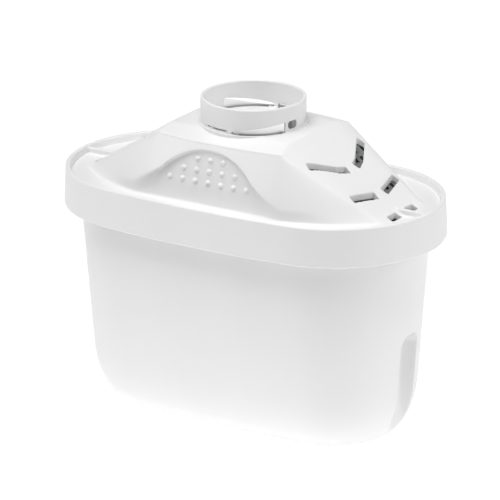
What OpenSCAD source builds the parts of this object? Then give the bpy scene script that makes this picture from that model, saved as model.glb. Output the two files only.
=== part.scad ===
// Oval filter cartridge for a water jug: a tapered cup, closed by a lid with a faceted dome and a pull ring.
// The base stands on z = 0 under the middle of the outline, and X runs along the cartridge.

/* [Outline of the lid] */
// Length over the lid's lip
rim_len = 104; // [98:0.5:112]
// Width over the lid's lip
rim_wid = 58.3; // [54:0.1:62]
// How far the middle of each long side bulges past the round ends
side_bulge = 1.25; // [0.8:0.05:2.5]
// Height of the lip's top above the base
rim_height = 62.8; // [56:0.2:72]

/* [Outer band] */
// Height of the band that hangs from the lip
band_height = 10; // [7:0.5:14]
// How far the band's lower edge stands outside its lip
band_flare = 0.45; // [0:0.05:1]
// Thickness of the lip and the band
band_wall = 1.3; // [1:0.1:1.6]
// Depth of the gutter behind the lip
gutter_depth = 1.8; // [1:0.1:2.6]
// Thickness of the lid's walls
lid_wall = 1.6; // [1.2:0.1:2]
// Radius of the lip's edges
lip_round = 0.3; // [0.1:0.05:0.45]
// Thickness of the rib across the gutter at each end
rib_wall = 1.2; // [0.8:0.1:2]

/* [Cup] */
// Ledge between the band's lip and the cup at the band's lower edge
overhang = 3.9; // [3.4:0.1:5]
// How much narrower each side is at the base
taper = 3.9; // [2:0.1:6]
// Thickness of the cup's walls and floor
cup_wall = 1.5; // [1:0.1:2]
// How far the bottom corner reaches in from the side
corner_reach = 8; // [5:0.5:10]
// Height of the bottom corner
corner_height = 14.5; // [8:0.5:18]
// Depth of the hollow under the floor
foot_height = 1.2; // [0.8:0.1:2]
// Width of the foot that the cartridge stands on
foot_wall = 1.8; // [1.2:0.1:3]
// Radius of the upright groove in each round end
groove_r = 3.5; // [2.5:0.1:4.5]
// Height of the top of the grooves
groove_height = 29.5; // [20:0.5:40]

/* [Outlet] */
// Distance from one outlet slot to the next
outlet_pitch = 4; // [3:0.1:4.4]
// Width of an outlet slot
outlet_slot_wid = 1.6; // [1:0.1:2]
// Least floor left past the outermost slots at each end
outlet_end_gap = 10; // [6:0.5:14]
// Floor left past the slots' ends on each side
outlet_side_gap = 3.35; // [2:0.05:6]

/* [Dome] */
// Height of the dome's flat deck above the lip
deck_rise = 15.2; // [12:0.1:18]
// Length of the deck
deck_len = 35.2; // [32:0.1:40]
// Width of the deck
deck_wid = 22.4; // [18:0.1:26]
// Length of the brow, the edge between the deck's bevel and the steep face
brow_len = 36.8; // [33:0.1:41]
// Width of the brow at its corners
brow_wid = 32; // [28:0.1:35]
// How far the brow bows out in the middle
brow_bow = 1.6; // [0.6:0.1:2.4]
// How far the brow lies below the deck
brow_drop = 1.4; // [0.5:0.1:2.4]
// Distance from the lip's outline in to the dome's foot at each end
gutter_end = 7.6; // [6:0.1:10]
// Distance from the lip's outline in to the dome's foot at each side
gutter_side = 2.55; // [2.2:0.05:3.5]
// Radius of the foot's long sides
foot_side_r = 66.5; // [60:0.5:90]

/* [Finger grips] */
// Radius of the arch that is scooped out of each long face
grip_r = 18; // [15:0.5:20]
// Radius of the flare that the arch's legs run out in
grip_flare = 12; // [6:0.5:14]
// Height of the arch's top above the lip
grip_rise = 12.4; // [10:0.1:13]
// Distance from the middle to the scooped face at the arch's top
grip_y = 17.8; // [17:0.1:18.5]
// Lean of the scooped face from upright, in degrees
grip_lean = 13.3; // [8:0.1:18]
// Diameter of a grip bump
bump_d = 1.3; // [0.8:0.1:2]
// Distance between bumps in a row
bump_pitch = 3.8; // [3:0.1:4.2]
// Distance between the rows of bumps
bump_row_pitch = 2.75; // [2:0.05:3]
// Height of the lowest row of bumps above the lip
bump_low = 4.9; // [3:0.1:6]
// Number of rows, each two bumps shorter than the one below it
bump_rows = 3; // [1:1:3]
// Number of bumps in the lowest row
bump_count = 7; // [5:2:7]

/* [Inlet slots] */
// Width of the slots, seen from above
slot_wid = 2; // [1.4:0.1:2.6]
// Distance down the slope to the upper slots' outer ends
upper_slots = 7.5; // [6:0.1:9]
// Distance down the slope from the upper slots' outer ends to their bends
upper_slot_drop = 5; // [4:0.1:6]
// Distance down the slope from the bends to the upper slots' inner ends
bend_drop = 1.2; // [0.8:0.1:1.6]
// How far the bends stand out from the inner ends
bend_out = 3.2; // [2.6:0.1:4]
// Distance up the slope from the dome's foot to the middle slots' outer ends
middle_slots = 10.4; // [9:0.1:11.5]
// Distance down the slope from the middle slots' outer ends to their inner ends
middle_slot_drop = 2.2; // [1:0.1:3]
// Distance from the centre line to the slots' inner ends
slot_inner_y = 1.8; // [1.4:0.1:2.6]
// Distance from the centre line to the upper slots' outer ends
upper_slot_y = 12.7; // [10:0.1:13]
// Distance from the centre line to the middle slots' outer ends
middle_slot_y = 10.6; // [9:0.1:11]
// Distance from the centre line to the lower slots' outer ends
lower_slot_y = 6.1; // [4.5:0.1:7]

/* [Pull ring] */
// Outer diameter of the ring
ring_d = 26.8; // [24:0.1:28]
// Thickness of the ring
ring_wall = 0.95; // [0.8:0.05:1.4]
// Height of the ring's top above the lip
ring_rise = 22.1; // [20:0.1:25]
// Height of the low boss under the ring
boss_height = 0.3; // [0.2:0.1:0.8]
// How far the boss stands outside the ring
boss_margin = 0.5; // [0.3:0.1:1]
// Height of the band at the low end of the ramp
ramp_low = 5.75; // [5.2:0.05:6]
// Height of the band at the high end of the ramp
ramp_high = 4; // [3:0.05:4.6]
// Angle that the ramp starts at, in degrees
ramp_start = -82; // [-90:1:-75]
// Angle that the ramp ends at, in degrees
ramp_end = -20; // [-28:1:-15]
// Reach of the cut corner at the ramp's high end
ramp_corner = 0.7; // [0.4:0.1:1.2]
// Size of the square window past the ramp's high end
window_wid = 3.1; // [2:0.1:3.4]
// Angle from the ramp's high end to the window's middle
window_turn = 11; // [10:0.5:14]
// Height of the window's sill, and of the low slot's, above the boss
sill = 0.4; // [0.2:0.1:0.8]
// Depth of the set-back under the band past the ramp
setback = 0.3; // [0.1:0.05:0.4]
// Angle that the set-back reaches past the ramp
setback_turn = 55; // [40:1:70]
// Angle that the low slot in front of the ramp spans
low_slot_turn = 29; // [20:1:36]
// Angle of full wall between the low slot and the ramp
low_slot_gap = 9; // [6:1:12]
// How far the slit under the ramp reaches inside the ring
ramp_slit = 0.75; // [0.3:0.05:1]
// Width of the opening in the deck behind the low slot
low_slit = 1.6; // [1:0.1:2]

/* [Inside] */
// Running gap between the pieces inside and the shell
fit_gap = 0.2; // [0.1:0.05:0.4]
// Thickness of the screens
screen_t = 0.5; // [0.3:0.05:0.8]
// Width of the screens' square meshes
mesh_hole = 1.3; // [0.8:0.1:1.5]
// Distance from one mesh to the next
mesh_pitch = 2.6; // [2.2:0.1:3]
// Height of the granule bed's top above the base
bed_top = 47; // [40:0.5:52]
// Distance down the slope to the inlet screens' upper edge
screen_top = 5; // [4:0.1:6]
// How much further the inlet screens reach than the slope's flat at their upper edge
screen_spread = 1.6; // [1:0.1:1.6]
// Distance up the slope from the dome's foot to the inlet screens' lower edge
screen_foot = 2.7; // [2.5:0.1:4]

/* [Hidden] */
white = [0.93, 0.93, 0.93];
charcoal = [0.12, 0.12, 0.13];
screen_grey = [0.35, 0.36, 0.37];
// Slope of the gutter's inner side, from top to bottom
gutter_draft = 0.2;
// How far a cut runs past the face that it opens, and a join into the form that carries it.
bite = 0.4;
// How far the rib across the gutter runs into the dome.
rib_root = 3;
// Radius of the ring's edges.
ring_round = 0.25;
// How far the short length of a bent slot runs past its bend.
elbow = 0.8;

// The outline is an oval of four arcs: two round ends and two nearly flat sides that run into them.
end_r = rim_wid / 2 - side_bulge;
end_x = rim_len / 2 - end_r;
side_r = (end_x * end_x + pow(rim_wid / 2, 2) - end_r * end_r) / (2 * side_bulge);
side_y = side_r - rim_wid / 2;
side_span = atan(end_x / side_y);
end_span = 90 - side_span;

band_z = rim_height - band_height;
gutter_z = rim_height - gutter_depth;
lid_floor_z = gutter_z - lid_wall;
deck_z = rim_height + deck_rise;
brow_z = deck_z - brow_drop;

// The end slope runs from the deck's end down to the dome's foot.
foot_len = rim_len - 2 * gutter_end;
foot_wid = rim_wid - 2 * gutter_side;
slope_run = foot_len / 2 - deck_len / 2;
slope_drop = deck_z - gutter_z;
slope_length = norm([slope_run, slope_drop]);
slope_angle = atan(slope_drop / slope_run);
side_angle = atan((brow_z - gutter_z) / (foot_wid / 2 - brow_wid / 2 - brow_bow));

end_steps = 30;
side_steps = 6;
corner_steps = 7;
arch_steps = 10;
floor_z = foot_height + cup_wall;
bed_floor_z = floor_z + screen_t;
foot_inset = cup_inset(0) + corner_reach;
floor_inset = foot_inset + cup_wall;
outlet_slot_len = rim_wid - 2 * (floor_inset + outlet_side_gap);
outlet_count = 2 * floor((rim_len / 2 - floor_inset - outlet_end_gap) / outlet_pitch) + 1;

ring_r = ring_d / 2;
boss_z = deck_z + boss_height;
ring_top_z = rim_height + ring_rise;

// Distance from the lip's outline in to the cup's side at height z.
function cup_inset(z) = overhang + taper * (band_z - z) / band_z;

// Points of an arc, without its last one.
function arc_points(centre, r, from, to, steps) =
    [for (i = [0:steps - 1]) let (a = from + (to - from) * i / steps) centre + r * [cos(a), sin(a)]];

// The oval at a distance inside the lip's outline, anticlockwise.
function outline(inset) = concat(
    arc_points([end_x, 0], end_r - inset, -end_span, end_span, end_steps),
    arc_points([0, -side_y], side_r - inset, 90 - side_span, 90 + side_span, side_steps),
    arc_points([-end_x, 0], end_r - inset, 180 - end_span, 180 + end_span, end_steps),
    arc_points([0, side_y], side_r - inset, 270 - side_span, 270 + side_span, side_steps));

// A solid that follows the oval, through levels of [distance inside the lip's outline, height] from the bottom up.
module oval_form(levels) {
    count = len(outline(0));
    top = len(levels) - 1;
    polyhedron(
        [for (level = levels) for (p = outline(level[0])) [p[0], p[1], level[1]]],
        concat(
            [[for (j = [0:count - 1]) j]],
            [for (i = [0:top - 1], j = [0:count - 1])
                let (low = i * count, high = low + count, next = (j + 1) % count)
                [low + j, high + j, high + next, low + next]],
            [[for (j = [count - 1:-1:0]) top * count + j]]));
}

module at_both_ends() for (end = [0, 180]) rotate([0, 0, end]) children();

// Section line of the cup's side, from the bottom corner's foot up to a height, moved inwards by depth.
function cup_line(depth, low_z, top_z) = concat(
    [for (i = [0:corner_steps])
        let (a = 90 * (1 - i / corner_steps), z = low_z + (corner_height - low_z) * (1 - sin(a)))
        [cup_inset(z) + depth + corner_reach * (1 - cos(a)), z]],
    [[cup_inset(top_z) + depth, top_z]]);

// An upright half-round groove that follows the taper of the cup's right end.
module end_groove(r) {
    lean = atan(taper / band_z);
    translate([rim_len / 2 - cup_inset(0), 0, 0]) rotate([0, lean, 0]) {
        translate([0, 0, -groove_r]) cylinder(h = groove_height, r = r, $fn = 64);
        translate([0, 0, groove_height - groove_r]) sphere(r, $fn = 64);
    }
}

module outlet_slots() {
    for (i = [0:outlet_count - 1])
        translate([(i - (outlet_count - 1) / 2) * outlet_pitch, 0, foot_height - bite])
            linear_extrude(cup_wall + 2 * bite) rounded_slot(outlet_slot_wid, outlet_slot_len);
}

module rounded_slot(wid, len) {
    square([wid, len - wid], center = true);
    for (end = [-1, 1]) translate([0, end * (len - wid) / 2]) circle(wid / 2, $fn = 32);
}

module cup() {
    color(white) difference() {
        oval_form(cup_line(0, 0, lid_floor_z));
        difference() {
            oval_form(cup_line(cup_wall, floor_z, lid_floor_z + bite));
            at_both_ends() end_groove(groove_r + cup_wall);
        }
        at_both_ends() end_groove(groove_r);
        oval_form([[foot_inset + foot_wall, -bite], [foot_inset + foot_wall, foot_height]]);
        outlet_slots();
    }
}

// Points of an arc through y = half_wid in the middle, for x from -half_len to half_len.
function bow(half_len, half_wid, r, z, steps) =
    [for (i = [-steps:steps])
        let (x = half_len * i / steps) [x, half_wid - r + sqrt(r * r - x * x), z]];

function both_sides(points) = concat(points, [for (p = points) [p[0], -p[1], p[2]]]);

// The dome as one convex form: deck, brow and foot. A shell's inside is the same form, in by the wall.
module dome_form(wall) {
    side_in = wall / sin(side_angle);
    end_in = wall / sin(slope_angle);
    low_z = wall == 0 ? gutter_z - lid_wall / 2 : lid_floor_z - bite;
    foot_x = foot_len / 2 - end_in + (gutter_z - low_z) / tan(slope_angle);
    foot_y = foot_wid / 2 - side_in + (gutter_z - low_z) / tan(side_angle);
    brow_r = (pow(brow_len / 2, 2) + brow_bow * brow_bow) / (2 * brow_bow);
    deck_x = deck_len / 2 - wall * tan(slope_angle / 2);
    points = both_sides(concat(
        [for (end = [-1, 1]) [end * deck_x, deck_wid / 2 - wall / 3, deck_z - wall]],
        bow(brow_len / 2 - wall / 2, brow_wid / 2 + brow_bow - wall / 2, brow_r, brow_z - wall, 5),
        bow(foot_x, foot_y, foot_side_r, low_z, 12)));
    hull() polyhedron(points, [[for (i = [0:len(points) - 1]) i]]);
}

// Half of a grip's arch, from its top to the end of its flare, moved outwards by grow.
function arch_half(grow) =
    let (low_z = rim_height + grip_rise - grip_r, flare_z = gutter_z + grip_flare)
    let (flare_x = (grip_r + grip_flare) * sqrt(2) - (flare_z - low_z))
    concat(
        arc_points([0, low_z], grip_r + grow, 90, 45, arch_steps),
        arc_points([flare_x, flare_z], grip_flare - grow, 225, 270, arch_steps),
        [[flare_x, gutter_z + grow], [flare_x, gutter_z - 2 * lid_wall]]);

// What the finger grips scoop out of the dome's long faces: an arch with a leaning back face.
module grips(wall) {
    half = arch_half(wall);
    last = len(half) - 1;
    for (side = [0, 180]) rotate([0, 0, side])
        intersection() {
            rotate([90, 0, 0]) linear_extrude(rim_wid)
                polygon(concat(half, [for (i = [last:-1:1]) [-half[i][0], half[i][1]]]));
            translate([0, -grip_y + wall, rim_height + grip_rise]) rotate([-grip_lean, 0, 0])
                translate([-rim_wid, -rim_wid, -2 * rim_wid]) cube([2 * rim_wid, rim_wid, 4 * rim_wid]);
        }
}

// Rows of bumps on each scooped face.
module bumps() {
    for (side = [0, 180]) rotate([0, 0, side])
        for (row = [0:bump_rows - 1]) {
            count = bump_count - 2 * row;
            z = rim_height + bump_low + row * bump_row_pitch;
            y = grip_y + (rim_height + grip_rise - z) * tan(grip_lean);
            for (i = [0:count - 1])
                translate([(i - (count - 1) / 2) * bump_pitch, -y, z]) sphere(d = bump_d, $fn = 24);
        }
}

// A straight length of slot between two points, seen from above, and on past the second by a lap.
module slot_leg(from, to, lap = 0) {
    run = to - from;
    translate(from) rotate(atan2(run[1], run[0]))
        translate([0, -slot_wid / 2]) square([norm(run) + lap, slot_wid]);
}

// x of a point at a distance down the right-hand slope.
function down_slope(distance) = deck_len / 2 + distance * cos(slope_angle);

// The slots in the right-hand slope: two bent ones, two straight ones and two short ones in its foot.
module slots() {
    bend = upper_slots + upper_slot_drop;
    bend_y = slot_inner_y + bend_out;
    middle = slope_length - middle_slots;
    lower_x = foot_len / 2 - slot_wid / 4;
    for (side = [0, 1]) mirror([0, side])
        translate([0, 0, lid_floor_z - bite]) linear_extrude(deck_rise + gutter_depth + lid_wall) {
            slot_leg([down_slope(upper_slots), upper_slot_y], [down_slope(bend), bend_y]);
            slot_leg([down_slope(bend + bend_drop), slot_inner_y], [down_slope(bend), bend_y], elbow);
            slot_leg([down_slope(middle), middle_slot_y], [down_slope(middle + middle_slot_drop), slot_inner_y]);
            slot_leg([lower_x, lower_slot_y], [lower_x, slot_inner_y]);
        }
}

// Lip, band and gutter, with the plate that the dome grows from.
module rim() {
    lip_z = rim_height - lip_round;
    difference() {
        oval_form([[-band_flare, band_z], [0, lip_z], [lip_round, rim_height]]);
        oval_form([
            [band_wall + gutter_draft, gutter_z], [band_wall, lip_z],
            [band_wall - lip_round, rim_height], [band_wall - lip_round - bite, rim_height + bite]]);
        oval_form([[band_wall - band_flare, band_z - bite], [band_wall, lid_floor_z]]);
    }
    at_both_ends()
        translate([foot_len / 2 - rib_root, -rib_wall / 2, gutter_z - lid_wall / 2])
            cube([gutter_end - band_wall / 2 + rib_root, rib_wall, gutter_depth + lid_wall / 2 - lip_round]);
}

// A wedge of ring between two radii, two heights and two angles.
module ring_wedge(r1, r2, z1, z2, start, end) {
    rotate([0, 0, start]) rotate_extrude(angle = end - start, $fn = 128)
        translate([r1, z1]) square([r2 - r1, z2 - z1]);
}

// A cut through the ring's wall on one side, from a side view turned to an angle.
module across_ring(turn)
    rotate([0, 0, turn + 90]) rotate([90, 0, 0]) translate([0, 0, ring_r / 2]) linear_extrude(ring_r) children();

// The open ramp under the ring's band.
module ramp_gap() {
    half = ring_r * sin((ramp_end - ramp_start) / 2);
    high_z = ring_top_z - ramp_high;
    in = ramp_corner * (1 - cos(45));
    across_ring((ramp_start + ramp_end) / 2)
        polygon([
            [-half, boss_z], [half, boss_z], [half, high_z - ramp_corner], [half - in, high_z - in],
            [half - ramp_corner, high_z], [-half, ring_top_z - ramp_low]]);
}

// Small square window just past the high end of the front ramp.
module ring_window()
    across_ring(ramp_end + window_turn)
        translate([-window_wid / 2, boss_z + sill])
            square([window_wid, ring_top_z - ramp_high - boss_z - sill]);

module pull_ring() {
    inner = ring_r - ring_wall;
    low_slot_end = ramp_start - low_slot_gap;
    difference() {
        union() {
            translate([0, 0, deck_z - bite]) cylinder(h = boss_height + bite, r = ring_r + boss_margin, $fn = 128);
            rotate_extrude($fn = 128)
                polygon([
                    [inner, deck_z - bite / 2], [ring_r, deck_z - bite / 2], [ring_r, ring_top_z - ring_round],
                    [ring_r - ring_round, ring_top_z], [inner + ring_round, ring_top_z],
                    [inner, ring_top_z - ring_round]]);
        }
        ring_window();
        at_both_ends() {
            ramp_gap();
            ring_wedge(
                ring_r - setback, ring_r + bite, boss_z, ring_top_z - ramp_high,
                ramp_end - 0.5, ramp_end + setback_turn);
            ring_wedge(
                inner - bite, ring_r + bite, boss_z + sill, ring_top_z - ramp_low,
                low_slot_end - low_slot_turn, low_slot_end);
        }
    }
}

// Openings through the deck: under the ramp, clear of its ends, and behind the low slot.
module deck_openings() {
    inner = ring_r - ring_wall;
    low_z = deck_z - lid_wall - bite;
    low_slot_end = ramp_start - low_slot_gap;
    at_both_ends() {
        ring_wedge(inner - ramp_slit, ring_r, low_z, boss_z + bite, ramp_start + 7, ramp_end - 2);
        ring_wedge(
            inner - low_slit, inner + bite / 4, low_z, boss_z + sill / 2,
            low_slot_end - low_slot_turn + 1, low_slot_end - 1);
    }
}

module lid() {
    color(white) difference() {
        union() {
            rim();
            difference() {
                union() {
                    dome_form(0);
                    pull_ring();
                }
                grips(0);
            }
            bumps();
        }
        difference() {
            dome_form(lid_wall);
            grips(lid_wall);
        }
        at_both_ends() slots();
        deck_openings();
    }
}

// A flat screen with square meshes, cut to an outline.
module screen(columns, rows) {
    linear_extrude(screen_t) difference() {
        children();
        for (i = [0:columns - 1], j = [0:rows - 1])
            translate([(i - (columns - 1) / 2) * mesh_pitch, (j - (rows - 1) / 2) * mesh_pitch])
                square(mesh_hole, center = true);
    }
}

// Half width of the slope's flat at a distance down it.
function slope_half(distance) =
    let (foot_half = foot_wid / 2 - foot_side_r + sqrt(pow(foot_side_r, 2) - pow(foot_len / 2, 2)))
    deck_wid / 2 + (foot_half - deck_wid / 2) * distance / slope_length;

// The screen under the right-hand slope, flat against the slope's inner face.
module inlet_screen() {
    low = slope_length - screen_foot;
    half = (low - screen_top) / 2;
    top_half = slope_half(screen_top) + screen_spread;
    low_half = slope_half(low);
    translate([deck_len / 2, 0, deck_z]) rotate([0, slope_angle, 0])
        translate([screen_top + half, 0, -lid_wall - fit_gap - screen_t])
            screen(floor((2 * half - fit_gap) / mesh_pitch), floor((top_half + low_half) / mesh_pitch))
                polygon([[-half, -top_half], [half, -low_half], [half, low_half], [-half, top_half]]);
}

module inlet_screen_right() color(screen_grey) inlet_screen();

module inlet_screen_left() color(screen_grey) rotate([0, 0, 180]) inlet_screen();

// The screen on the cup's floor, clear of its corner, with meshes over all the outlet slots.
module outlet_screen() {
    color(screen_grey) translate([0, 0, floor_z])
        screen(ceil(outlet_count * outlet_pitch / mesh_pitch), ceil(outlet_slot_len / mesh_pitch))
            polygon(outline(floor_inset + fit_gap));
}

// The poured bed fills the cup up to its top face, clear of the walls and the grooves.
module filter_bed() {
    clear = cup_wall + fit_gap;
    color(charcoal) difference() {
        oval_form(cup_line(clear, bed_floor_z, bed_top));
        at_both_ends() end_groove(groove_r + clear);
    }
}

cup();
lid();
inlet_screen_left();
inlet_screen_right();
outlet_screen();
filter_bed();
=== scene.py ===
"""Looks of an oval jug filter cartridge: tapered cup, domed lid, pull ring, screens and granules."""
import math

import bpy
import numpy as np
from mathutils import Matrix, Vector


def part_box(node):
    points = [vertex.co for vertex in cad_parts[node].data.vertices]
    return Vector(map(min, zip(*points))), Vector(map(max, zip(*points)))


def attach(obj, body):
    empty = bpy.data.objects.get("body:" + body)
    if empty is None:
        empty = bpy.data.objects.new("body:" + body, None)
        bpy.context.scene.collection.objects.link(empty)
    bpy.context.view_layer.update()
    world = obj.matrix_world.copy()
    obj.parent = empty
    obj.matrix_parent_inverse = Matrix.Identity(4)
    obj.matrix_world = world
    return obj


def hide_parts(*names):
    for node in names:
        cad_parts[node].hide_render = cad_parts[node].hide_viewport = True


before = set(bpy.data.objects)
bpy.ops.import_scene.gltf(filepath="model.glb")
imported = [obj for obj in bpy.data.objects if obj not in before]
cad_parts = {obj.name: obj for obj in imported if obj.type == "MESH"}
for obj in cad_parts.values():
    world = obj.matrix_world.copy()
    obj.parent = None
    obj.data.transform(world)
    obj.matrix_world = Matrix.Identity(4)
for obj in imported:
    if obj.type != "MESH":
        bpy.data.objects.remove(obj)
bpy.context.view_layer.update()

# Sizes are in millimetres, and MM turns them into Blender's metres.
MM = 0.001
lid_low, lid_high = (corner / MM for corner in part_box("lid"))

# Lid's outline, lip and band
BAND_FLARE = 0.45
BAND_HEIGHT = 10
BAND_WALL = 1.3
RIM_LEN = lid_high.x - lid_low.x - 2 * BAND_FLARE
RIM_WID = lid_high.y - lid_low.y - 2 * BAND_FLARE
BAND_Z = lid_low.z
RIM_Z = BAND_Z + BAND_HEIGHT
GUTTER_DEPTH = 1.8
GUTTER_Z = RIM_Z - GUTTER_DEPTH
LID_WALL = 1.6
LID_FLOOR_Z = GUTTER_Z - LID_WALL
SIDE_BULGE = 1.25
END_R = RIM_WID / 2 - SIDE_BULGE
END_X = RIM_LEN / 2 - END_R
SIDE_R = (END_X ** 2 + (RIM_WID / 2) ** 2 - END_R ** 2) / (2 * SIDE_BULGE)
SIDE_Y = SIDE_R - RIM_WID / 2
SIDE_SPAN = math.atan2(END_X, SIDE_Y)
END_SPAN = math.pi / 2 - SIDE_SPAN

# Ribs across the gutter at the two ends
RIB_WALL = 1.2
RIB_REACH = 3
RIB_DROP = 0.35

# Cup
OVERHANG = 3.9
TAPER = 3.9
CUP_WALL = 1.5
CORNER_REACH = 8
CORNER_HEIGHT = 14.5
FOOT_HEIGHT = 1.2
FOOT_WALL = 1.8
FOOT_EDGE = 0.25
OUTLET_COUNT = 13
OUTLET_PITCH = 4
OUTLET_WID = 1.6
OUTLET_LEN = 17

# Upright grooves in the cup's ends, each a little off the middle
GROOVE_R = 4
GROOVE_Y = 0.5
GROOVE_HEIGHT = 29.5
GROOVE_LOW_Z = 5
GROOVE_LOW_DEPTH = 3
GROOVE_EDGE = 0.25
GROOVE_HALF = GROOVE_R - GROOVE_Y

# Dome: a flat deck, a bevel down to the brow, and faces that run out to the foot in the gutter
DECK_Z = RIM_Z + 15.2
DECK_X = 35.2 / 2
DECK_Y = 22.4 / 2
BROW_X = 36.8 / 2
BROW_Y = 32 / 2
BROW_BOW = 1.6
BROW_Z = DECK_Z - 1.4
BROW_R = (BROW_X ** 2 + BROW_BOW ** 2) / (2 * BROW_BOW)
FOOT_X = RIM_LEN / 2 - 7.6
FOOT_Y = RIM_WID / 2 - 2.55
FOOT_SIDE_R = 66.5
FAN_REACH = 52
SLOPE = math.atan2(DECK_Z - GUTTER_Z, FOOT_X - DECK_X)
DOME_EDGE = 0.5

# Slots of the end slopes. A place down the slope is measured from the deck's edge.
SLOT_WID = 2
SLOT_CORNER = 0.45
SLOT_INNER_Y = 1.8
UPPER_SLOT_DOWN = 7.5
UPPER_SLOT_Y = 12.7
BEND_DOWN = 12.5
BEND_Y = 5
BEND_END_DOWN = 13.7
ELBOW = 0.8
MIDDLE_SLOT_UP = 10.4
MIDDLE_SLOT_Y = 10.6
MIDDLE_SLOT_DROP = 2.2
FOOT_SLOT_Y = 6.1

# Finger grips
GRIP_R = 18
GRIP_FLARE = 6
GRIP_X = 1
GRIP_TOP = RIM_Z + 11.9
GRIP_Y = 17.8
GRIP_LEAN = math.radians(13.3)
GRIP_EDGE = 0.6
GRIP_CORNER = 0.8
SOFT_FOOT_HEIGHT = 8
BUMP_R = 0.65
BUMP_PITCH = 3.8
BUMP_ROWS = 3
BUMP_ROW_PITCH = 2.75
BUMP_LOW = RIM_Z + 3.9

# Pull ring. Its ramps, slots and slits start and end at angles in degrees.
RING_R = 26.8 / 2
RING_WALL = 0.95
RING_TOP = lid_high.z
RING_EDGE = 0.5
BOSS_Z = DECK_Z + 0.3
BOSS_REACH = 0.5
SILL_Z = BOSS_Z + 0.4
RAMP_LOW_Z = RING_TOP - 5.75
RAMP_HIGH_Z = RING_TOP - 4
RAMP_START = -82
RAMP_END = -20
RAMP_EDGE = 0.7
RAMP_SLIT = 0.75
RAMP_SLIT_START = RAMP_START + 6.5
RAMP_SLIT_END = RAMP_END - 0.5
LOW_SLOT_START = RAMP_START - 35
LOW_SLOT_END = RAMP_START - 6
LOW_SLOT_EDGE = 0.2
LOW_SLIT = 1.6
LOW_SLIT_SKIN = 0.3
SLIT_DEPTH = 3
SETBACK = 0.3
SETBACK_START = RAMP_END - 1
SETBACK_END = RAMP_END + 55
WINDOW = 3.1
WINDOW_CORNER = 0.9
WINDOW_TURN = math.radians(RAMP_END + 11)
FINE_EDGE = 0.15

# Mesh fineness of the fields: grid step, and the most triangles of each moulding
FINE_STEP = 0.25
RING_STEP_SHARE = 0.6
LID_TRIANGLES = 190000
RING_TRIANGLES = 150000

# Camera at the photograph's angle, fitted to the lip, the ring and the base. Angles are in degrees.
CAMERA_AZIMUTH = 32.742
CAMERA_ELEVATION = 19.207
CAMERA_ROLL = -0.242
CAMERA_DISTANCE = 1197.336
CAMERA_AIM = (-1.244, 0, RIM_Z - 19.58)
FOCAL_PIXELS = 4696.243
PICTURE_PIXELS = 500
SENSOR = 36

# Light: the sky's strength, two fades of the floor's strength as (metres from the middle, strength),
# the share of the glow that the floor shows, and lamps as name, place in metres, size and watts
SKY = 0.11
NEAR_LIGHT = ((0.03, 0.55), (0.3, 0))
FLOOR_GLOW = ((0.12, 1.06), (0.5, 1.3))
GLOW_SHARE = 0.78
LAMP_AIM = (0, 0, 0.045)
LAMPS = [
    ("top_soft_box", (-0.02, -0.22, 0.9), 0.7, 7),
    ("left_soft_box", (-0.75, -0.4, 0.6), 0.5, 1.6),
    ("right_soft_box", (0.75, 0.3, 0.42), 0.5, 2.5),
]


# Fields: a moulding is the region where its field is below zero


def soft_max(a, b, blend):
    """Larger of two fields, rounded over where they come within blend of each other."""
    near = np.maximum(blend - np.abs(a - b), 0) / blend
    return np.maximum(a, b) + near * near * blend / 4


def soft_min(a, b, blend):
    return -soft_max(-a, -b, blend)


def oval_distance(x, y):
    """Distance outside the lip's outline, for points in the first quarter."""
    at_end = y < (x - END_X) * math.tan(END_SPAN)
    return np.where(at_end, np.hypot(x - END_X, y) - END_R, np.hypot(x, y + SIDE_Y) - SIDE_R)


def plane_through(a, b, c):
    """Normal and offset of the plane through three points, facing up."""
    normal = np.cross(np.subtract(b, a), np.subtract(c, a))
    normal = normal / np.linalg.norm(normal) * np.sign(normal[2])
    return normal, normal @ np.array(a)


def foot_line(x):
    return FOOT_Y - FOOT_SIDE_R + np.sqrt(np.maximum(FOOT_SIDE_R ** 2 - x * x, 1))


def brow_line(x):
    return BROW_Y + BROW_BOW - BROW_R + np.sqrt(np.maximum(BROW_R ** 2 - x * x, 1))


def dome_sides(x, y, z):
    """The steep faces, ruled from the brow down to the foot, and fanned out past the brow's corners."""
    least_drop = 0.03
    drop = np.maximum((BROW_Z - z) / (BROW_Z - GUTTER_Z), least_drop)
    foot_x = np.minimum(x, BROW_X) + np.maximum(x - BROW_X, 0) / drop
    reach = np.minimum(foot_x, FAN_REACH)
    turned_in = (foot_x - reach) * FAN_REACH / math.sqrt(FOOT_SIDE_R ** 2 - FAN_REACH ** 2)
    line = (1 - drop) * brow_line(np.minimum(x, BROW_X)) + drop * (foot_line(reach) - turned_in)
    lean = math.atan2(FOOT_Y - BROW_Y - BROW_BOW, BROW_Z - GUTTER_Z)
    return (y - line) * np.sqrt(1 - (reach / FOOT_SIDE_R) ** 2) * math.cos(lean)


def dome(x, y, z):
    """Outside of the dome without its grips, for points in the first quarter."""
    slope = (x - DECK_X) * math.sin(SLOPE) + (z - DECK_Z) * math.cos(SLOPE)
    bevel = z - DECK_Z + (DECK_Z - BROW_Z) * (y - DECK_Y) / (brow_line(np.minimum(x, BROW_X)) - DECK_Y)
    deck_corner = (DECK_X, DECK_Y, DECK_Z)
    brow_corner = (BROW_X, brow_line(BROW_X), BROW_Z)
    foot_corner = (FOOT_X, foot_line(FOOT_X), GUTTER_Z)
    normal, offset = plane_through(deck_corner, brow_corner, foot_corner)
    facet = normal[0] * x + normal[1] * y + normal[2] * z - offset
    top = soft_max(soft_max(z - DECK_Z, bevel, DOME_EDGE / 4), slope, DOME_EDGE / 2)
    return soft_max(soft_max(top, facet, DOME_EDGE / 2), dome_sides(x, y, z), DOME_EDGE)


def grip_face(z):
    """Y of a grip's leaning face at a height."""
    return GRIP_Y + (GRIP_TOP - z) * math.tan(GRIP_LEAN)


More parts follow.
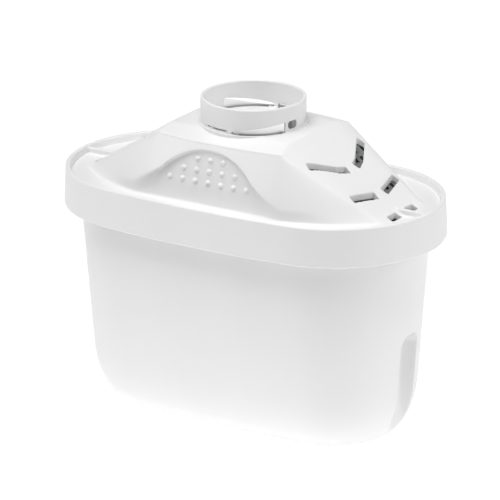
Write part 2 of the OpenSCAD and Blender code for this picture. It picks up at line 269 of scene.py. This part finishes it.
def foot_softness(z):
    """Extra rounding low on a grip, where its edges run out."""
    return GRIP_EDGE * np.maximum(GUTTER_Z + SOFT_FOOT_HEIGHT - z, 0)


def grip(x, y, z):
    """What a finger grip scoops out of a long face: an arch that flares out at its foot."""
    low_z = GRIP_TOP - GRIP_R
    flare_z = GUTTER_Z + GRIP_FLARE
    flare_x = (GRIP_R + GRIP_FLARE) * math.sqrt(2) - (flare_z - low_z)
    arch = np.hypot(x, z - low_z) - GRIP_R
    leg = (x + z - low_z) / math.sqrt(2) - GRIP_R
    flare = GRIP_FLARE - np.hypot(x - flare_x, z - flare_z)
    arch = np.where(x > z - low_z, leg, arch)
    arch = np.where((x - flare_x) > z - flare_z, np.where(x < flare_x, flare, z - GUTTER_Z), arch)
    return soft_max(arch, (grip_face(z) - y) * math.cos(GRIP_LEAN), GRIP_CORNER + foot_softness(z))


def bumps(x, y, z):
    """Round bumps on a grip's face, one fewer on each side in each higher row."""
    nearest = np.inf
    for row in range(BUMP_ROWS):
        height = BUMP_LOW + row * BUMP_ROW_PITCH
        for i in range(BUMP_ROWS + 1 - row):
            reach = (x - i * BUMP_PITCH) ** 2 + (y - grip_face(height)) ** 2 + (z - height) ** 2
            nearest = np.minimum(nearest, np.sqrt(reach) - BUMP_R)
    return nearest


def rounded_box(u, half_u, v, half_v, corner):
    """Distance outside a rectangle with rounded corners, seen square on."""
    u, v = np.abs(u) - half_u + corner, np.abs(v) - half_v + corner
    return np.hypot(np.maximum(u, 0), np.maximum(v, 0)) + np.minimum(np.maximum(u, v), 0) - corner


def slot_leg(x, y, start, end):
    """A straight slot with rounded corners between two points, seen from above."""
    start, end = np.array(start), np.array(end)
    length = np.linalg.norm(end - start)
    along = (end - start) / length
    middle = (start + end) / 2
    return rounded_box(
        (x - middle[0]) * along[0] + (y - middle[1]) * along[1], length / 2,
        (y - middle[1]) * along[0] - (x - middle[0]) * along[1], SLOT_WID / 2, SLOT_CORNER)


def down_slope(distance):
    """X of a place so far down the slope."""
    return DECK_X + distance * math.cos(SLOPE)


def inlet_slots(x, y):
    """The slots of one slope, on one side of its middle: a bent one, a straight one and a short one."""
    bend = np.array([down_slope(BEND_DOWN), BEND_Y])
    bend_end = np.array([down_slope(BEND_END_DOWN), SLOT_INNER_Y])
    past_bend = bend + ELBOW * (bend - bend_end) / np.linalg.norm(bend - bend_end)
    middle = math.hypot(FOOT_X - DECK_X, DECK_Z - GUTTER_Z) - MIDDLE_SLOT_UP
    low_x = FOOT_X - SLOT_WID / 4
    legs = [
        ((down_slope(UPPER_SLOT_DOWN), UPPER_SLOT_Y), bend),
        (past_bend, bend_end),
        ((down_slope(middle), MIDDLE_SLOT_Y), (down_slope(middle + MIDDLE_SLOT_DROP), SLOT_INNER_Y)),
        ((low_x, FOOT_SLOT_Y), (low_x, SLOT_INNER_Y)),
    ]
    return np.minimum.reduce([slot_leg(x, y, start, end) for start, end in legs])


def turned(x, y):
    """Radius and angle in degrees round the ring, with its second half turned onto the first."""
    first_half_start = -135
    angle = np.degrees(np.arctan2(y, x))
    return np.hypot(x, y), (angle - first_half_start) % 180 + first_half_start


def sector(radius, angle, start, end):
    """How far a point lies outside a range of angles, as a length."""
    return (np.abs(angle - (start + end) / 2) - (end - start) / 2) * radius * math.pi / 180


def between(radius, outer, thickness):
    """How far a radius lies outside a wall with a given outer radius and thickness."""
    return np.abs(radius - outer + thickness / 2) - thickness / 2


def deck_slits(radius, angle):
    """Openings down into the dome, under the ramp and under the low slot."""
    ramp = np.maximum(
        between(radius, RING_R, RING_WALL + RAMP_SLIT),
        sector(radius, angle, RAMP_SLIT_START, RAMP_SLIT_END))
    low_slot = np.maximum(
        between(radius, RING_R - LOW_SLIT_SKIN, RING_WALL - LOW_SLIT_SKIN + LOW_SLIT),
        sector(radius, angle, LOW_SLOT_START, LOW_SLOT_END))
    return np.minimum(ramp, low_slot)


def lid_top(x, y, z):
    """Dome, bumps, boss, gutter floor and end ribs in one moulding."""
    bump_edge, boss_edge, gutter_fillet, rib_edge, slot_edge = 0.3, 0.2, 0.7, 0.4, 0.25
    boss_root, band_lap, slit_spare = 1, 0.1, 0.3
    ax, ay = np.abs(x), np.abs(y)
    across = np.abs(x - np.sign(y) * GRIP_X)
    form = soft_max(dome(ax, ay, z), -grip(across, ay, z), GRIP_EDGE + foot_softness(z))
    hollow = form + LID_WALL
    form = soft_min(form, bumps(across, ay, z), bump_edge)
    radius, angle = turned(x, y)
    boss = soft_max(radius - RING_R - BOSS_REACH, z - BOSS_Z, boss_edge)
    form = soft_min(form, np.maximum(boss, DECK_Z - boss_root - z), FINE_EDGE)
    floor = np.maximum(oval_distance(ax, ay) + BAND_WALL + band_lap, z - GUTTER_Z)
    form = soft_min(form, floor, gutter_fillet)
    rib = soft_max(ay - RIB_WALL / 2, z - RIM_Z + RIB_DROP, rib_edge)
    rib = np.maximum(np.maximum(rib, FOOT_X - RIB_REACH - ax), ax - RIM_LEN / 2 + BAND_WALL / 2)
    form = soft_min(form, rib, rib_edge)
    form = np.maximum(np.maximum(form, LID_FLOOR_Z - z), -hollow)
    slits = np.maximum(deck_slits(radius, angle), z - BOSS_Z - slit_spare)
    slits = np.maximum(slits, DECK_Z - SLIT_DEPTH - z)
    cuts = np.minimum(inlet_slots(ax, ay), slits)
    return soft_max(form, -cuts, slot_edge)


def pull_ring(x, y, z):
    """The ring's wall, with its ramps, window, set-backs, low slots and slits."""
    root = 0.1
    radius, angle = turned(x, y)
    wall = soft_max(between(radius, RING_R, RING_WALL), z - RING_TOP, RING_EDGE)
    wall = np.maximum(wall, DECK_Z - root - z)
    rise = np.clip((angle - RAMP_START) / (RAMP_END - RAMP_START), 0, 1)
    edge = RAMP_LOW_Z + (RAMP_HIGH_Z - RAMP_LOW_Z) * rise
    ramp = soft_max(sector(radius, angle, RAMP_START, RAMP_END), z - edge, RAMP_EDGE)
    ramp = np.maximum(ramp, BOSS_Z - z)
    turn = np.arctan2(y, x) - WINDOW_TURN
    half_height = (RAMP_HIGH_Z - SILL_Z) / 2
    window = rounded_box(
        radius * np.sin(turn), WINDOW / 2, z - (SILL_Z + RAMP_HIGH_Z) / 2, half_height, WINDOW_CORNER)
    window = np.maximum(window, -np.cos(turn))
    setback = np.maximum(sector(radius, angle, SETBACK_START, SETBACK_END), RING_R - SETBACK - radius)
    setback = soft_max(setback, z - RAMP_HIGH_Z, FINE_EDGE)
    slot = soft_max(sector(radius, angle, LOW_SLOT_START, LOW_SLOT_END), z - RAMP_LOW_Z, LOW_SLOT_EDGE)
    slot = soft_max(slot, SILL_Z - z, LOW_SLOT_EDGE)
    slits = np.maximum(deck_slits(radius, angle), z - SILL_Z)
    cuts = np.minimum.reduce([ramp, window, setback, slot, slits])
    return soft_max(wall, -cuts, FINE_EDGE)


# Meshes


def surface_of(field, low, high, step):
    """Points and quads of a field's zero surface, one point in each grid cell that the surface crosses."""
    axes = [np.arange(a, b + step, step, dtype=np.float32) for a, b in zip(low, high)]
    grid = np.meshgrid(*axes, indexing="ij", sparse=True)
    value = np.broadcast_to(field(*grid), [len(a) for a in axes]).astype(np.float32)
    inside = value < 0
    nx, ny, nz = (n - 1 for n in value.shape)
    corners = sum(
        inside[i:nx + i, j:ny + j, k:nz + k].astype(np.int8)
        for i in (0, 1) for j in (0, 1) for k in (0, 1))
    mixed = (corners > 0) & (corners < 8)
    cells = np.argwhere(mixed)
    number = np.full(mixed.shape, -1, np.int32)
    number[mixed] = np.arange(len(cells))
    total = np.zeros((len(cells), 3))
    crossings = np.zeros(len(cells))
    unit = np.eye(3, dtype=int)
    for axis in range(3):
        for j in (0, 1):
            for k in (0, 1):
                near = cells + j * unit[(axis + 1) % 3] + k * unit[(axis + 2) % 3]
                a, b = value[tuple(near.T)], value[tuple((near + unit[axis]).T)]
                crossed = (a < 0) != (b < 0)
                share = np.where(crossed, a / np.where(crossed, a - b, 1), 0)
                total[crossed] += (near + share[:, None] * unit[axis])[crossed]
                crossings += crossed
    points = np.array([a[0] for a in axes]) + step * total / crossings[:, None]
    quads = []
    for axis in range(3):
        first = np.moveaxis(inside, axis, 0)
        cell_number = np.moveaxis(number, axis, 0)
        across = np.argwhere(first[:-1, 1:-1, 1:-1] != first[1:, 1:-1, 1:-1]) + (0, 1, 1)
        i, j, k = across.T
        ring = np.stack([cell_number[i, j - b, k - c] for b, c in ((1, 1), (0, 1), (0, 0), (1, 0))], 1)
        solid_below = first[i, j, k]
        # Y, X, Z is a left-handed order, so the quads across Y turn the other way.
        outwards = solid_below if axis != 1 else ~solid_below
        quads.append(np.where(outwards[:, None], ring, ring[:, ::-1]))
    return points, np.concatenate(quads)


def slope_of(field, points):
    """A field's gradient, by differences."""
    reach = 0.02
    sides = []
    for axis in range(3):
        shift = np.eye(3)[axis] * reach
        sides.append((field(*(points + shift).T) - field(*(points - shift).T)) / (2 * reach))
    return np.stack(sides, 1)


def settle(field, points, most):
    """Moves points onto the field's zero surface, by no more than a given distance in all."""
    rounds, least_size, tiny = 3, 0.05, 1e-9
    start = points.copy()
    for _ in range(rounds):
        slope = slope_of(field, points)
        size = np.maximum((slope * slope).sum(1), least_size)
        points = points - slope * (field(*points.T) / size)[:, None]
        moved = points - start
        length = np.linalg.norm(moved, axis=1)
        points = start + moved * np.minimum(1, most / np.maximum(length, tiny))[:, None]
    return points


def add_piece(name, points, faces, material, slot, *nodes):
    """Makes a mesh from millimetre points, which rides on the root and stands for the CAD nodes named."""
    mesh = bpy.data.meshes.new(name)
    mesh.from_pydata((points * MM).tolist(), [], faces)
    mesh.materials.append(material)
    mesh.shade_smooth()
    piece = bpy.data.objects.new(name, mesh)
    bpy.context.scene.collection.objects.link(piece)
    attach(piece, "root")
    if nodes:
        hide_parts(*nodes)
    return piece


def apply_modifiers(piece):
    """Replaces a piece's mesh with what its modifiers make of it."""
    depsgraph = bpy.context.evaluated_depsgraph_get()
    made = bpy.data.meshes.new_from_object(piece.evaluated_get(depsgraph))
    piece.modifiers.clear()
    piece.data = made


def moulded(name, field, low, high, step, triangles, material, *nodes):
    """A moulding from a field: meshed, thinned to so many triangles, and shaded by the field's slope."""
    points, quads = surface_of(field, low, high, step)
    points = settle(field, points, step)
    piece = add_piece(name, points, quads.tolist(), material, "shell", *nodes)
    if 2 * len(quads) > triangles:
        thin = piece.modifiers.new("thin", "DECIMATE")
        thin.ratio = triangles / (2 * len(quads))
        apply_modifiers(piece)
    mesh = piece.data
    corners = np.array([v.co for v in mesh.vertices]) / MM
    corners = settle(field, corners, step / 4)
    mesh.vertices.foreach_set("co", (corners * MM).ravel())
    normals = slope_of(field, corners)
    normals /= np.linalg.norm(normals, axis=1)[:, None]
    mesh.shade_smooth()
    mesh.normals_split_custom_set_from_vertices(normals.tolist())
    mesh.update()


def rounded(section, radii, steps=5):
    """Rounds the corners of a closed line of points with arcs."""
    section = [np.array(p, float) for p in section]
    made = []
    for i, point in enumerate(section):
        radius = radii[i]
        if not radius:
            made.append(point)
            continue
        before, after = section[i - 1], section[(i + 1) % len(section)]
        a = (before - point) / np.linalg.norm(before - point)
        b = (after - point) / np.linalg.norm(after - point)
        half = math.acos(max(-1, min(1, a @ b))) / 2
        reach = radius / math.tan(half)
        middle = point + (a + b) / np.linalg.norm(a + b) * radius / math.sin(half)
        start = point + a * reach - middle
        end = point + b * reach - middle
        turn = math.atan2(start[0] * end[1] - start[1] * end[0], start @ end)
        for k in range(steps + 1):
            angle = turn * k / steps
            made.append(middle + np.array([
                start[0] * math.cos(angle) - start[1] * math.sin(angle),
                start[0] * math.sin(angle) + start[1] * math.cos(angle)]))
    return made


def outline(inset, groove_half=GROOVE_HALF, groove_steps=12, end_steps=40, side_steps=40):
    """Points of the oval at a distance inside the lip's outline, closer together where a groove may be."""
    radius = END_R - inset
    first = math.asin(groove_half / radius)
    shares = [math.sin(math.pi / 2 * i / groove_steps) for i in range(groove_steps)]
    fine = [math.asin(groove_half * share / radius) for share in shares]
    coarse = [first + (END_SPAN - first) * i / end_steps for i in range(end_steps)]
    half = fine + coarse
    angles = np.array([-END_SPAN] + [-a for a in reversed(half[1:])] + half)
    end = np.stack([END_X + radius * np.cos(angles), radius * np.sin(angles)], 1)
    side_angles = math.pi / 2 - SIDE_SPAN + 2 * SIDE_SPAN * np.arange(side_steps) / side_steps
    side_r = SIDE_R - inset
    side = np.stack([side_r * np.cos(side_angles), side_r * np.sin(side_angles) - SIDE_Y], 1)
    return np.concatenate([end, side, -end, -side])


def loft(rings, closed):
    """Points and quads through rings of as many points each."""
    count = len(rings[0])
    faces = []
    for i in range(len(rings) if closed else len(rings) - 1):
        low, high = i * count, (i + 1) % len(rings) * count
        for j in range(count):
            k = (j + 1) % count
            faces.append((low + j, low + k, high + k, high + j))
    return np.concatenate(rings), faces


def at_height(plan, z):
    return np.column_stack([plan, np.full(len(plan), z)])


def smooth_over(piece, degrees):
    """Smooth shading, sharp over an angle, with normals led by the larger faces."""
    piece.data.shade_smooth()
    piece.data.set_sharp_from_angle(angle=math.radians(degrees))
    weighted = piece.modifiers.new("weighted normals", "WEIGHTED_NORMAL")
    weighted.keep_sharp = True
    apply_modifiers(piece)


# Cup and band


def cup_inset(z):
    """How far inside the lip's outline the cup's side stands at a height."""
    return OVERHANG + TAPER * (BAND_Z - z) / BAND_Z


def groove_depth(z):
    """The groove's floor is upright, so it gets deeper as the cup widens upwards."""
    return GROOVE_LOW_DEPTH + cup_inset(GROOVE_LOW_Z) - cup_inset(z)


def in_groove(ring, radius, depth, z):
    """Pushes a ring of the cup in where it crosses the groove of each end, by depth at most."""
    middle = min(z, GROOVE_HEIGHT - GROOVE_R)
    side_x = RIM_LEN / 2 - cup_inset(z)
    across = ring[:, 1] - GROOVE_Y * np.sign(ring[:, 0])
    share = (across ** 2 + (z - middle) ** 2) / radius ** 2
    face = side_x - np.where(share < 1, depth * np.sqrt(np.maximum(1 - share ** 2, 0)), (1 - share) * depth)
    x = np.abs(ring[:, 0])
    near = np.abs(ring[:, 1]) < 2 * radius
    moved = soft_min(x, face, GROOVE_EDGE) * np.sign(ring[:, 0])
    ring = ring.copy()
    ring[:, 0] = np.where(near & (x > END_X), moved, ring[:, 0])
    return ring


def cup_side(depth, low_z):
    """Line of the cup's side from the bottom corner's foot up, moved in by depth, as (inset, height)."""
    steps, fine_rise, coarse_rise, fine_reach = 24, 0.5, 1.5, 5
    line = []
    for i in range(steps + 1):
        a = math.pi / 2 * (1 - i / steps)
        z = low_z + (CORNER_HEIGHT - low_z) * (1 - math.sin(a))
        line.append((cup_inset(z) + depth + CORNER_REACH * (1 - math.cos(a)), z))
    arch_z = GROOVE_HEIGHT - GROOVE_R / 2
    z = CORNER_HEIGHT
    while z < LID_FLOOR_Z:
        z = min(z + (fine_rise if abs(z - arch_z) < fine_reach else coarse_rise), LID_FLOOR_Z)
        line.append((cup_inset(z) + depth, z))
    return line


def make_cup(material):
    """The cup's shell as one lofted skin: its foot, outside, inside and floor, with the slots cut out."""
    foot_inset = cup_inset(0) + CORNER_REACH
    foot_steps, seam = 4, 0.01
    floor_z = FOOT_HEIGHT + CUP_WALL
    rings = [at_height(outline(foot_inset + FOOT_WALL + seam), FOOT_HEIGHT)]
    rings.append(at_height(outline(foot_inset + FOOT_WALL), FOOT_HEIGHT))
    for i in range(foot_steps + 1):
        a = math.pi / 2 * i / foot_steps
        inset = foot_inset + FOOT_WALL - FOOT_EDGE * (1 - math.cos(a))
        rings.append(at_height(outline(inset), FOOT_EDGE * (1 - math.sin(a))))
    for inset, z in cup_side(0, 0):
        ring = at_height(outline(inset, GROOVE_R + GROOVE_Y), z)
        rings.append(in_groove(ring, GROOVE_R, groove_depth(z), z))
    inner_r = GROOVE_HALF + CUP_WALL
    for inset, z in reversed(cup_side(CUP_WALL, floor_z)):
        rings.append(in_groove(at_height(outline(inset, inner_r), z), inner_r, inner_r, z))
    rings.append(at_height(outline(foot_inset + FOOT_WALL + CUP_WALL), floor_z))
    points, faces = loft(rings, closed=False)
    count = len(rings[0])
    faces.append(tuple(range(count - 1, -1, -1)))
    faces.append(tuple(range(len(points) - count, len(points))))
    piece = add_piece("cup_shell", points, faces, material, "shell", "cup")
    cut_away(piece, outlet_cutters())
    smooth_over(piece, degrees=40)


def outlet_cutters():
    """One mesh of all the outlet slots, a little taller than the floor."""
    spare, steps = 0.3, 10
    end_r = OUTLET_WID / 2
    half = (OUTLET_LEN - OUTLET_WID) / 2
    turns = [math.pi * i / steps for i in range(steps + 1)]
    slot = [(end_r * math.cos(a), half + end_r * math.sin(a)) for a in turns]
    slot += [(-x, -y) for x, y in slot]
    n = len(slot)
    points, faces = [], []
    for i in range(OUTLET_COUNT):
        middle = (i - (OUTLET_COUNT - 1) / 2) * OUTLET_PITCH
        base = len(points)
        for z in (FOOT_HEIGHT - spare, FOOT_HEIGHT + CUP_WALL + spare):
            points += [(middle + x, y, z) for x, y in slot]
        faces += [(base + j, base + (j + 1) % n, base + n + (j + 1) % n, base + n + j) for j in range(n)]
        faces += [tuple(base + n - 1 - j for j in range(n)), tuple(base + n + j for j in range(n))]
    mesh = bpy.data.meshes.new("outlet_cutters")
    mesh.from_pydata([[c * MM for c in p] for p in points], [], faces)
    return bpy.data.objects.new("outlet_cutters", mesh)


def cut_away(piece, cutter):
    bpy.context.scene.collection.objects.link(cutter)
    cut = piece.modifiers.new("cut", "BOOLEAN")
    cut.operation = "DIFFERENCE"
    cut.solver = "EXACT"
    cut.object = cutter
    apply_modifiers(piece)
    bpy.data.objects.remove(cutter)


def make_band(material):
    """The lip with its hanging band, swept round the outline."""
    outer_foot_edge, lip_edge, inner_foot_edge = 0.4, 0.38, 0.3
    inner_side = BAND_WALL + 0.25
    inner_top = GUTTER_Z - 0.6
    inner_low = LID_FLOOR_Z + 0.2
    section = [
        (-BAND_FLARE, BAND_Z), (0, RIM_Z), (BAND_WALL, RIM_Z), (inner_side, inner_top),
        (inner_side, inner_low), (BAND_WALL, LID_FLOOR_Z), (BAND_WALL - BAND_FLARE, BAND_Z)]
    line = rounded(section, [outer_foot_edge, lip_edge, lip_edge, 0, 0, 0, inner_foot_edge])
    points, faces = loft([at_height(outline(inset), z) for inset, z in line], closed=True)
    smooth_over(add_piece("lid_band", points, faces, material, "shell", "lid"), degrees=60)


def make_painted_shade_screen(material):
    """Dark mesh that closes the ring's window, let into the middle of its wall: painted shade that makes
    the window look like a deep dark opening.
    """
    middle_r, half_thickness, lap, steps = RING_R - 0.65, 0.1, 0.35, 12
    rings = []
    for radius in (middle_r - half_thickness, middle_r + half_thickness):
        reach = (WINDOW / 2 + lap) / radius
        angles = WINDOW_TURN + np.linspace(-reach, reach, steps)
        edge = np.column_stack([radius * np.cos(angles), radius * np.sin(angles)])
        low, high = at_height(edge, SILL_Z - lap), at_height(edge[::-1], RAMP_HIGH_Z + lap)
        rings.append(np.concatenate([low, high]))
    count = 2 * steps
    faces = []
    for i in range(steps - 1):
        faces.append((i, count - 1 - i, count - 2 - i, i + 1))
        faces.append((count + i, count + i + 1, 2 * count - 2 - i, 2 * count - 1 - i))
    for i in range(count):
        j = (i + 1) % count
        faces.append((i, j, count + j, count + i))
    smooth_over(add_piece("painted_shade_screen", np.concatenate(rings), faces, material, "mesh"), degrees=40)


# Materials


def new_material(name):
    material = bpy.data.materials.new(name)
    material.use_nodes = True
    tree = material.node_tree
    return material, tree.nodes, tree.links, tree.nodes["Principled BSDF"]


def map_range(nodes, links, value, start, end):
    """A value carried from one range to another. Start and end are (value, result)."""
    carried = nodes.new("ShaderNodeMapRange")
    carried.inputs["From Min"].default_value, carried.inputs["To Min"].default_value = start
    carried.inputs["From Max"].default_value, carried.inputs["To Max"].default_value = end
    links.new(value, carried.inputs["Value"])
    return carried.outputs["Result"]


def colour_between(nodes, links, mask, low, high):
    tint = nodes.new("ShaderNodeMix")
    tint.data_type = "RGBA"
    tint.inputs["A"].default_value = (*low, 1)
    tint.inputs["B"].default_value = (*high, 1)
    links.new(mask, tint.inputs["Factor"])
    return tint.outputs["Result"]


def add_bump(nodes, links, surface, height, strength, distance, inwards=False):
    bump = nodes.new("ShaderNodeBump")
    bump.inputs["Strength"].default_value = strength
    bump.inputs["Distance"].default_value = distance
    bump.invert = inwards
    links.new(height, bump.inputs["Height"])
    links.new(bump.outputs["Normal"], surface.inputs["Normal"])


def make_flow_group():
    """Upright streaks and a speckle of moulded plastic, as two masks."""
    group = bpy.data.node_groups.new("moulding_flow", "ShaderNodeTree")
    nodes, links = group.nodes, group.links
    entry, leave = nodes.new("NodeGroupInput"), nodes.new("NodeGroupOutput")
    place, stretch = nodes.new("ShaderNodeTexCoord"), nodes.new("ShaderNodeVectorMath")
    stretch.operation = "MULTIPLY"
    stretch.inputs[1].default_value = (1, 1, 0.12)
    links.new(place.outputs["Object"], stretch.inputs[0])
    marks = (
        ("Streaks", "Streak Scale", 60, 3, stretch.outputs[0]),
        ("Speckle", "Speckle Scale", 900, 2, place.outputs["Object"]))
    for mask, scale_name, scale, detail, where in marks:
        size = group.interface.new_socket(name=scale_name, in_out="INPUT", socket_type="NodeSocketFloat")
        size.default_value = scale
        group.interface.new_socket(name=mask, in_out="OUTPUT", socket_type="NodeSocketFloat")
        noise = nodes.new("ShaderNodeTexNoise")
        noise.inputs["Detail"].default_value = detail
        links.new(where, noise.inputs["Vector"])
        links.new(entry.outputs[scale_name], noise.inputs["Scale"])
        links.new(noise.outputs["Fac"], leave.inputs[mask])
    return group


def make_plastic():
    """Satin white polypropylene, with faint flow streaks in its colour and speckle in its gloss."""
    material, nodes, links, surface = new_material("white_polypropylene")
    marks = nodes.new("ShaderNodeGroup")
    marks.node_tree = make_flow_group()
    tint = colour_between(nodes, links, marks.outputs["Streaks"], (0.86, 0.86, 0.86), (0.9, 0.9, 0.9))
    links.new(tint, surface.inputs["Base Color"])
    sheen = map_range(nodes, links, marks.outputs["Speckle"], (0, 0.32), (1, 0.42))
    links.new(sheen, surface.inputs["Roughness"])
    add_bump(nodes, links, surface, marks.outputs["Speckle"], 0.06, 0.0001)
    surface.inputs["IOR"].default_value = 1.49
    return material


def make_granules():
    """Black carbon granules with amber resin beads among them."""
    material, nodes, links, surface = new_material("granules")
    place, cells = nodes.new("ShaderNodeTexCoord"), nodes.new("ShaderNodeTexVoronoi")
    cells.inputs["Scale"].default_value = 1400
    links.new(place.outputs["Object"], cells.inputs["Vector"])
    colours = nodes.new("ShaderNodeValToRGB")
    colours.color_ramp.elements[0].color = (0.02, 0.02, 0.02, 1)
    colours.color_ramp.elements[1].color = (0.06, 0.055, 0.05, 1)
    amber = colours.color_ramp.elements.new(0.85)
    amber.color = (0.32, 0.17, 0.05, 1)
    links.new(cells.outputs["Color"], colours.inputs["Fac"])
    links.new(colours.outputs["Color"], surface.inputs["Base Color"])
    add_bump(nodes, links, surface, cells.outputs["Distance"], 0.9, 0.0004, inwards=True)
    surface.inputs["Roughness"].default_value = 0.55
    return material


def make_woven_and_painted_shade():
    """Fine woven screen: two sets of threads that cross. Its dark tone is also painted shade where it
    closes the ring's window.
    """
    material, nodes, links, surface = new_material("woven_screen_and_painted_shade")
    place, higher = nodes.new("ShaderNodeTexCoord"), nodes.new("ShaderNodeMath")
    higher.operation = "MAXIMUM"
    for i, direction in enumerate("XY"):
        threads = nodes.new("ShaderNodeTexWave")
        threads.bands_direction = direction
        threads.inputs["Scale"].default_value = 700
        links.new(place.outputs["Object"], threads.inputs["Vector"])
        links.new(threads.outputs["Fac"], higher.inputs[i])
    # Dark thread colours: the screens' own, and painted shade on the sheet in the ring's window.
    tint = colour_between(nodes, links, higher.outputs[0], (0.05, 0.05, 0.055), (0.3, 0.31, 0.32))
    links.new(tint, surface.inputs["Base Color"])
    add_bump(nodes, links, surface, higher.outputs[0], 0.6, 0.0002)
    surface.inputs["Roughness"].default_value = 0.6
    return material


def dress(node, material):
    """Gives a CAD node its material."""
    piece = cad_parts[node]
    piece.data.materials.clear()
    piece.data.materials.append(material)


# Stage, light and camera


def either_ray(nodes, links, *kinds):
    """1 for rays of either of two kinds, 0 for others."""
    rays, seen = nodes.new("ShaderNodeLightPath"), nodes.new("ShaderNodeMath")
    seen.operation = "MAXIMUM"
    for i, kind in enumerate(kinds):
        links.new(rays.outputs[kind], seen.inputs[i])
    return seen.outputs[0]


def mix_to_output(nodes, links, share, first, second, kind):
    """Puts two shaders out, mixed by the share of the second one. Kind is Material or World."""
    mix, out = nodes.new("ShaderNodeMixShader"), nodes.new("ShaderNodeOutput" + kind)
    for i, source in enumerate((share, first, second)):
        links.new(source, mix.inputs[i])
    links.new(mix.outputs[0], out.inputs["Surface"])


def make_stage():
    """White floor that keeps a faint shadow, and lights the cartridge from close by."""
    bpy.ops.mesh.primitive_plane_add(size=6)
    floor = bpy.context.object
    floor.name = "floor"
    material = bpy.data.materials.new("floor")
    material.use_nodes = True
    nodes, links = material.node_tree.nodes, material.node_tree.links
    nodes.clear()
    ground = nodes.new("ShaderNodeBsdfDiffuse")
    ground.inputs["Color"].default_value = (0.85, 0.85, 0.85, 1)
    near, glow = nodes.new("ShaderNodeEmission"), nodes.new("ShaderNodeEmission")
    place, reach = nodes.new("ShaderNodeTexCoord"), nodes.new("ShaderNodeVectorMath")
    reach.operation = "LENGTH"
    links.new(place.outputs["Object"], reach.inputs[0])
    for light, fade in ((near, NEAR_LIGHT), (glow, FLOOR_GLOW)):
        strength = map_range(nodes, links, reach.outputs["Value"], *fade)
        links.new(strength, light.inputs["Strength"])
    lit = nodes.new("ShaderNodeAddShader")
    links.new(ground.outputs[0], lit.inputs[0])
    links.new(near.outputs[0], lit.inputs[1])
    share = nodes.new("ShaderNodeMath")
    share.operation = "MULTIPLY"
    share.inputs[1].default_value = GLOW_SHARE
    links.new(either_ray(nodes, links, "Is Camera Ray", "Is Glossy Ray"), share.inputs[0])
    mix_to_output(nodes, links, share.outputs[0], lit.outputs[0], glow.outputs[0], "Material")
    floor.data.materials.append(material)


def make_surround():
    """White surround, which lights the cartridge much less than it shows."""
    world = bpy.data.worlds.new("surround")
    bpy.context.scene.world = world
    world.use_nodes = True
    nodes, links = world.node_tree.nodes, world.node_tree.links
    nodes.clear()
    lit, white = nodes.new("ShaderNodeBackground"), nodes.new("ShaderNodeBackground")
    lit.inputs["Strength"].default_value = SKY
    for background in (lit, white):
        background.inputs["Color"].default_value = (1, 1, 1, 1)
    seen = either_ray(nodes, links, "Is Camera Ray", "Is Transmission Ray")
    mix_to_output(nodes, links, seen, lit.outputs[0], white.outputs[0], "World")


def add_lamp(name, place, size, power):
    """A square soft box that faces the cartridge's middle."""
    lamp = bpy.data.objects.new(name, bpy.data.lights.new(name, "AREA"))
    bpy.context.scene.collection.objects.link(lamp)
    lamp.data.size = size
    lamp.data.energy = power
    lamp.location = place
    towards = Vector(LAMP_AIM) - lamp.location
    lamp.rotation_mode = "QUATERNION"
    lamp.rotation_quaternion = towards.to_track_quat("-Z", "Y")


def make_camera():
    """Camera that looks at its aim from its azimuth and elevation, with a little roll."""
    azimuth, elevation, roll = (math.radians(a) for a in (CAMERA_AZIMUTH, CAMERA_ELEVATION, CAMERA_ROLL))
    back = np.array([
        math.sin(azimuth) * math.cos(elevation),
        -math.cos(azimuth) * math.cos(elevation),
        math.sin(elevation)])
    level = np.array([math.cos(azimuth), math.sin(azimuth), 0])
    upright = np.cross(back, level)
    right = level * math.cos(roll) + upright * math.sin(roll)
    up = upright * math.cos(roll) - level * math.sin(roll)
    camera = bpy.data.objects.new("camera", bpy.data.cameras.new("camera"))
    bpy.context.scene.collection.objects.link(camera)
    camera.data.sensor_width = SENSOR
    camera.data.lens = FOCAL_PIXELS / PICTURE_PIXELS * SENSOR
    camera.data.clip_end = 20
    turn = Matrix([[right[i], up[i], back[i]] for i in range(3)])
    camera.rotation_mode = "QUATERNION"
    camera.rotation_quaternion = turn.to_quaternion()
    camera.location = [c * MM for c in np.array(CAMERA_AIM) + back * CAMERA_DISTANCE]
    bpy.context.scene.camera = camera


def make_object():
    plastic = make_plastic()
    make_cup(plastic)
    make_band(plastic)
    step = FINE_STEP
    below, above, ring_spare = 0.6, 1.2, 0.5
    half_x, half_y, ring_half = RIM_LEN / 2, RIM_WID / 2, RING_R + ring_spare
    moulded(
        "lid_top", lid_top,
        (-half_x, -half_y, LID_FLOOR_Z - below), (half_x, half_y, RAMP_HIGH_Z + above),
        step, LID_TRIANGLES, plastic, "lid")
    moulded(
        "pull_ring", pull_ring,
        (-ring_half, -ring_half, DECK_Z - below), (ring_half, ring_half, RING_TOP + ring_spare),
        step * RING_STEP_SHARE, RING_TRIANGLES, plastic, "lid")
    dress("filter_bed", make_granules())
    woven_and_shade = make_woven_and_painted_shade()
    # A dark sheet of painted shade closes the ring's window.
    make_painted_shade_screen(woven_and_shade)
    for screen in ("inlet_screen_left", "inlet_screen_right", "outlet_screen"):
        dress(screen, woven_and_shade)


make_camera()
make_stage()
make_surround()
for lamp_values in LAMPS:
    add_lamp(*lamp_values)
make_object()
bpy.context.scene.view_settings.view_transform = "Standard"
